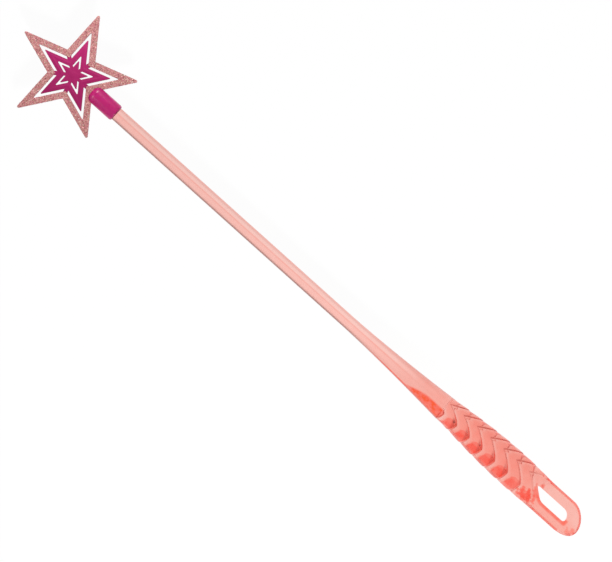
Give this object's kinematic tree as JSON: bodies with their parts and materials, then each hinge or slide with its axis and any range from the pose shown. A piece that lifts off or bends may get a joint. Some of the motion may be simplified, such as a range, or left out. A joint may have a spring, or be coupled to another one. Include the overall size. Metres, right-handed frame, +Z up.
{
  "type": "toy magic wand",
  "caption": "Toy magic wand: a flat star with a glitter border in a domed ferrule that turns on a straight see-through rod, which flares into a plaited grip with a hanging loop.",
  "frame": {"origin": "on the surface the wand lies on, under the middle of its overall length and width", "axes": "+X along the shaft from the star to the hanging loop, +Z up, with the star and the loop lying flat"},
  "size_m": [0.3784, 0.0624, 0.0163],
  "materials": {
    "magenta_star": "moulded, satin",
    "rose_glitter": "fine rose glitter",
    "magenta_ferrule": "moulded, glossy",
    "coral_rod": "clear tint, glossy",
    "coral_grip": "clear tint, glossy"
  },
  "bodies": {
    "handle": {"shaft": "coral_rod", "grip": "coral_grip"},
    "head": {"star_plate": "magenta_star", "front_glitter_border": "rose_glitter", "rear_glitter_border": "rose_glitter", "ferrule": "magenta_ferrule"}
  },
  "joints": [
    {"name": "head_turn", "type": "hinge", "parent": "handle", "child": "head", "pos_m": [-0.1315, 0, 0.00813], "axis": [1, 0, 0], "continuous": true}
  ]
}
